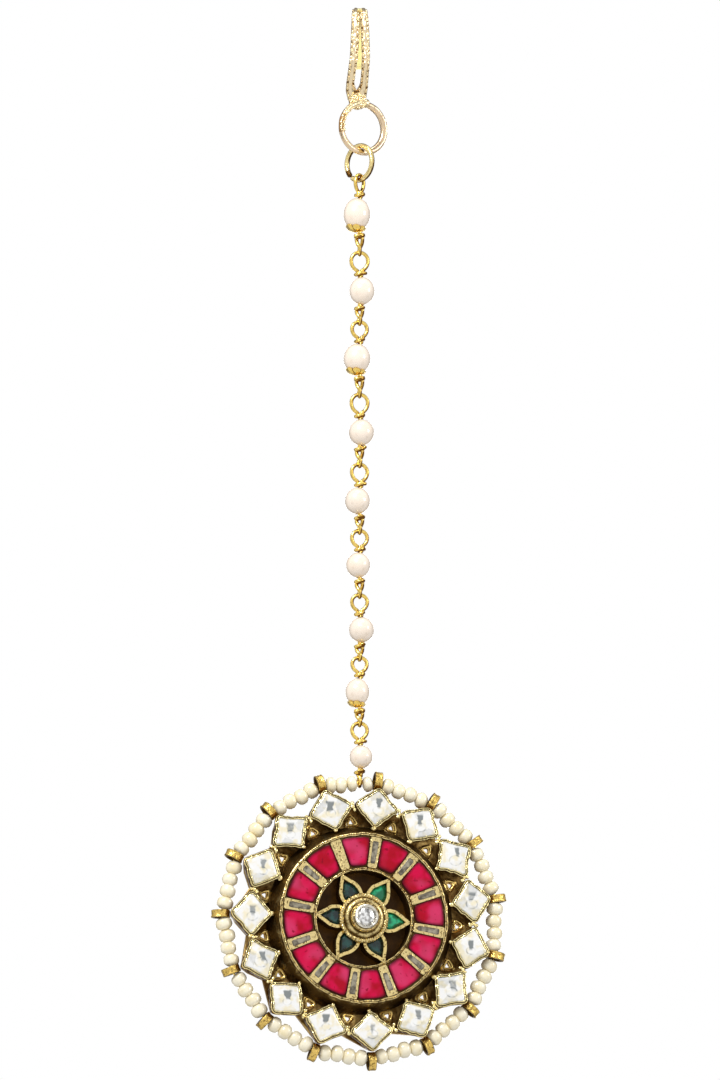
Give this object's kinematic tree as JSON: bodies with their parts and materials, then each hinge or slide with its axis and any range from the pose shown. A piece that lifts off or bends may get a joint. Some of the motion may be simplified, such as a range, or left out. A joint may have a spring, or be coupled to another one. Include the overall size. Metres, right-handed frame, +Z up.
{
  "type": "maang tikka",
  "caption": "Round stone-set forehead jewel with a pearl edge, hung by a chain of wired pearls from a two-strip hair hook.",
  "frame": {"origin": "inside of the hook's top bend, where it hangs in the hair", "axes": "+Z up, the way it hangs; the jewel's front faces -Y; +X to the viewer's right"},
  "size_m": [0.042, 0.0084, 0.1503],
  "materials": {
    "old_gold": "worn pale gold plate, dark in the recesses",
    "bright_gold": "bright yellow gold wire",
    "pearl": "pinkish cream pearl lustre",
    "seed_pearl": "cream pearl lustre",
    "polki": "foil-backed clear stone",
    "ruby": "polished deep pink-red stone",
    "green_stone": "polished bright green stone",
    "dark_green_stone": "polished dark green stone"
  },
  "bodies": {
    "chain": {"hair_hook": "old_gold", "jump_ring": "old_gold", "chain_wire_1": "bright_gold", "chain_wire_2": "bright_gold", "chain_wire_3": "bright_gold", "chain_wire_4": "bright_gold", "chain_wire_5": "bright_gold", "chain_wire_6": "bright_gold", "chain_wire_7": "bright_gold", "chain_wire_8": "bright_gold", "chain_wire_9": "bright_gold", "chain_pearl_1": "pearl", "chain_pearl_2": "pearl", "chain_pearl_3": "pearl", "chain_pearl_4": "pearl", "chain_pearl_5": "pearl", "chain_pearl_6": "pearl", "chain_pearl_7": "pearl", "chain_pearl_8": "pearl", "chain_pearl_9": "pearl", "bead_cap_1": "bright_gold", "bead_cap_3": "bright_gold", "bead_cap_8": "bright_gold"},
    "pendant": {"pendant_frame": "old_gold", "polki_1": "polki", "polki_2": "polki", "polki_3": "polki", "polki_4": "polki", "polki_5": "polki", "polki_6": "polki", "polki_7": "polki", "polki_8": "polki", "polki_9": "polki", "polki_10": "polki", "polki_11": "polki", "polki_12": "polki", "polki_13": "polki", "polki_14": "polki", "polki_15": "polki", "ruby_1": "ruby", "ruby_2": "ruby", "ruby_3": "ruby", "ruby_4": "ruby", "ruby_5": "ruby", "ruby_6": "ruby", "ruby_7": "ruby", "ruby_8": "ruby", "ruby_9": "ruby", "ruby_10": "ruby", "ruby_11": "ruby", "ruby_12": "ruby", "emerald_1": "green_stone", "emerald_2": "green_stone", "emerald_3": "dark_green_stone", "emerald_4": "dark_green_stone", "emerald_5": "dark_green_stone", "emerald_6": "dark_green_stone", "centre_stone": "polki", "edge_pearls": "seed_pearl"}
  },
  "joints": [
    {"name": "pendant_swing", "type": "hinge", "parent": "chain", "child": "pendant", "pos_m": [0, 0, -0.109], "axis": [0.9966, 0, 0.0819], "range_deg": [-90, 90]}
  ]
}
